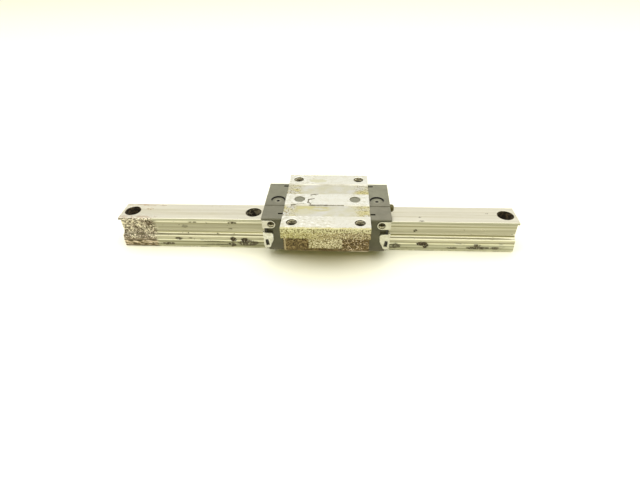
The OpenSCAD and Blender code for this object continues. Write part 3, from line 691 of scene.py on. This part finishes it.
def stainless():
    """Bright stainless sheet with fine scratches and smears, duller at the right and on top."""
    p = Paint("stainless", 1.0, 0.35)
    scratch = p.noise(0.15, 4.0, 0.6, (1.0, 1.0, 14.0))
    smear = p.noise(1.6, 5.0, 0.6, shift=8.0)
    speck = p.noise(0.8, 3.0, 0.6, shift=21.0)
    colour = p.blend(p.step(smear, 0.35, 0.7), srgb(210, 210, 201), srgb(184, 182, 166))
    colour = p.blend(p.step(p.z, 17.0, 18.0, 0.0, 0.5), colour, srgb(176, 172, 158))
    colour = p.blend(p.step(p.x, 0.0, 20.0, 0.0, 0.45), colour, srgb(186, 184, 162))
    colour = p.blend(p.step(speck, 0.63, 0.7, 0.0, 0.6), colour, srgb(136, 130, 100))
    p.raise_by(scratch, 0.008)
    return p.finish(colour, p.step(smear, 0.2, 0.8, 0.3, 0.5))


def black_screw():
    """Blackened screws, brighter on the lower part of their faces."""
    p = Paint("black_screw", 0.8, 0.45)
    grain = p.noise(0.5, 5.0, 0.65)
    colour = p.blend(p.step(grain, 0.35, 0.68), srgb(70, 64, 50), srgb(40, 35, 24))
    low = p.step(p.minus(p.z, PORT_SCREW_Z), -0.3, -0.7)
    worn = p.blend(p.step(grain, 0.4, 0.6), srgb(206, 201, 180), srgb(150, 144, 120))
    p.raise_by(grain, 0.03)
    return p.finish(p.blend(p.both(low, 0.9), colour, worn))


def plain(name, light, dark, metallic, roughness, size, height):
    """A worn surface between two colours, with lumps of one size."""
    p = Paint(name, metallic, roughness)
    lumps = p.noise(size, 5.0, 0.65)
    wide = p.noise(size * 6.0, 3.0, 0.5, shift=5.0)
    colour = p.blend(p.step(lumps, 0.35, 0.68), srgb(*light), srgb(*dark))
    p.raise_by(lumps, height)
    return p.finish(colour, p.step(wide, 0.2, 0.8, roughness - 0.06, roughness + 0.12))


PAINTED = {
    "rail_steel": rail_steel,
    "block_steel": block_steel,
    "cap_plastic": cap_plastic,
    "stainless": stainless,
    "black_screw": black_screw,
}
# Light colour, dark colour, metallic, roughness, and the size and height of the lumps
PLAIN = {
    "hard_steel": ((200, 198, 190), (168, 164, 152), 1.0, 0.25, 0.4, 0.004),
    "ball_steel": ((232, 231, 228), (214, 212, 206), 1.0, 0.1, 0.5, 0.0005),
    "screw_steel": ((168, 164, 152), (96, 88, 70), 1.0, 0.4, 0.3, 0.02),
    "brass": ((96, 90, 56), (62, 56, 32), 0.7, 0.5, 0.5, 0.03),
    "dark_plastic": ((66, 64, 58), (48, 46, 42), 0.0, 0.5, 0.4, 0.01),
    "pale_plastic": ((220, 214, 194), (200, 192, 168), 0.0, 0.45, 0.5, 0.01),
    "grey_plug": ((109, 108, 95), (96, 95, 81), 0.0, 0.6, 0.9, 0.02),
    "seal_rubber": ((46, 44, 40), (28, 27, 24), 0.0, 0.6, 0.5, 0.02),
}
# How wide the sharp edges of a slot's nodes are rounded
EDGE_WIDTH = {"rail_steel": 0.12, "block_steel": 0.14, "cap_plastic": 0.12, "stainless": 0.1}
EDGE_ANGLE = math.radians(35.0)
WELD_DISTANCE = 0.002


def dress_nodes():
    """Gives each CAD node the material of its slot, and rounds its sharp edges."""
    materials = {slot: paint() for slot, paint in PAINTED.items()}
    materials.update({slot: plain(slot, *look) for slot, look in PLAIN.items()})
    for row in frame["record"]["subparts"]:
        node = frame["nodes"][row["node"]]
        node.data.materials.clear()
        node.data.materials.append(materials[row["material_slot"]])
        width = EDGE_WIDTH.get(row["material_slot"])
        if width:
            weld = node.modifiers.new("weld", "WELD")
            weld.merge_threshold = WELD_DISTANCE * MM
            bevel = node.modifiers.new("edges", "BEVEL")
            bevel.width = width * MM
            bevel.segments = 2
            bevel.limit_method = "ANGLE"
            bevel.angle_limit = EDGE_ANGLE
            bevel.use_clamp_overlap = True


# ---- threads in the tapped holes ----

THREAD_PITCH = 0.8 * MM
THREAD_TOP = 0.55 * MM
THREAD_LENGTH = 4.9 * MM
THREAD_ROOT = (TAP_RADIUS + 0.01) * MM
THREAD_CREST = (TAP_RADIUS - 0.28) * MM
STEPS_PER_TURN = 40
STEPS_TO_FADE = 12.0
# Radius and height of the ridge's four corners
THREAD_OUTLINE = ((THREAD_ROOT, 0.36 * THREAD_PITCH), (THREAD_CREST, 0.05 * THREAD_PITCH),
                  (THREAD_CREST, -0.05 * THREAD_PITCH), (THREAD_ROOT, -0.36 * THREAD_PITCH))


def thread_mesh(name, x, y, top):
    """A helical ridge with a narrow crest on the wall of a hole, fading out at both ends."""
    shape = bmesh.new()
    steps = int(STEPS_PER_TURN * THREAD_LENGTH / THREAD_PITCH)
    rings = []
    for i in range(steps + 1):
        turn = 2.0 * math.pi * i / STEPS_PER_TURN
        drop = THREAD_PITCH * i / STEPS_PER_TURN
        fade = min(1.0, i / STEPS_TO_FADE, (steps - i) / STEPS_TO_FADE)
        ring = []
        for radius, lift in THREAD_OUTLINE:
            radius = THREAD_ROOT + (radius - THREAD_ROOT) * fade
            height = top - drop + lift * max(fade, 0.05)
            ring.append(shape.verts.new((x + radius * math.cos(turn), y + radius * math.sin(turn),
                                         height)))
        rings.append(ring)
    for a, b in zip(rings, rings[1:]):
        for k in range(4):
            shape.faces.new((a[k], a[(k + 1) % 4], b[(k + 1) % 4], b[k]))
    shape.faces.new(rings[0])
    shape.faces.new(rings[-1])
    bmesh.ops.recalc_face_normals(shape, faces=shape.faces)
    mesh = bpy.data.meshes.new(name)
    shape.to_mesh(mesh)
    shape.free()
    return mesh


def make_threads():
    """A thread in each of the block's four tapped holes."""
    middle = box_middle("carriage_block")
    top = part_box("carriage_block")[1][2] - THREAD_TOP
    material = thread_steel()
    for end, end_name in ((-0.5, "left"), (0.5, "right")):
        for side, side_name in ((-0.5, "front"), (0.5, "back")):
            name = "thread_" + end_name + "_" + side_name
            x = middle.x + end * TAP_SPACING[0] * MM
            mesh = thread_mesh(name, x, side * TAP_SPACING[1] * MM, top)
            mesh.materials.append(material)
            thread = bpy.data.objects.new(name, mesh)
            bpy.context.scene.collection.objects.link(thread)
            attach(thread, "carriage")


# ---- floor and light ----

FLOOR_HALF = 3.0
FLOOR_COLOUR = (0.8, 0.79, 0.7, 1.0)
FLOOR_ROUGHNESS = 0.9
ROOM_COLOUR = (0.67, 0.61, 0.06, 1.0)
TENT_COLOUR = (0.95, 0.93, 0.84, 1.0)
HORIZON_COLOUR = (0.76, 0.74, 0.6, 1.0)
# Each lamp's name, place, the point it shines at, size and power
LAMPS = [
    ("overhead", (0.0, -0.01, 0.75), (0.0, 0.0, 0.0), (2.2, 1.2), 14.7),
    ("far_floor", (0.0, 1.25, 0.4), (0.0, 1.25, 0.0), (2.6, 0.5), 1.2),
]


def make_stage():
    """A plain pale floor."""
    mesh = bpy.data.meshes.new("floor")
    corners = [(x * FLOOR_HALF, y * FLOOR_HALF, 0.0)
               for x, y in ((-1, -1), (1, -1), (1, 1), (-1, 1))]
    mesh.from_pydata(corners, [], [(0, 1, 2, 3)])
    floor = bpy.data.objects.new("floor", mesh)
    bpy.context.scene.collection.objects.link(floor)
    material = bpy.data.materials.new("floor")
    material.use_nodes = True
    shader = material.node_tree.nodes["Principled BSDF"]
    shader.inputs["Base Color"].default_value = FLOOR_COLOUR
    shader.inputs["Roughness"].default_value = FLOOR_ROUGHNESS
    mesh.materials.append(material)


def area_light(name, place, aim, size, power):
    """A rectangular lamp at a place, shining at a point."""
    data = bpy.data.lights.new(name, "AREA")
    data.shape = "RECTANGLE"
    data.size, data.size_y = size
    data.energy = power
    lamp = bpy.data.objects.new(name, data)
    lamp.location = place
    lamp.rotation_mode = "QUATERNION"
    lamp.rotation_quaternion = (Vector(aim) - Vector(place)).to_track_quat("-Z", "Y")
    bpy.context.scene.collection.objects.link(lamp)


def make_light():
    """A white tent above and behind, a dim warm room in front, a pale horizon, and two lamps.

    The broad lamp overhead lights the part, and the low one far behind whitens the floor there.
    """
    world = bpy.data.worlds.new("studio")
    world.use_nodes = True
    sky = Shading(world.node_tree)
    _, y, z = sky.axes(sky.node("TexCoord").outputs["Generated"])
    towards_tent = sky.plus(sky.both(y, 0.6), sky.both(z, 0.8))
    colour = sky.blend(sky.step(towards_tent, -0.3, 0.75), ROOM_COLOUR, TENT_COLOUR)
    colour = sky.blend(sky.step(z, 0.15, 0.38), HORIZON_COLOUR, colour)
    background = world.node_tree.nodes["Background"]
    sky.put(background.inputs["Color"], colour)
    background.inputs["Strength"].default_value = 1.0
    bpy.context.scene.world = world
    for lamp in LAMPS:
        area_light(*lamp)
    bpy.context.scene.view_settings.view_transform = "Standard"


make_camera()
make_stage()
make_light()
dress_nodes()
make_threads()
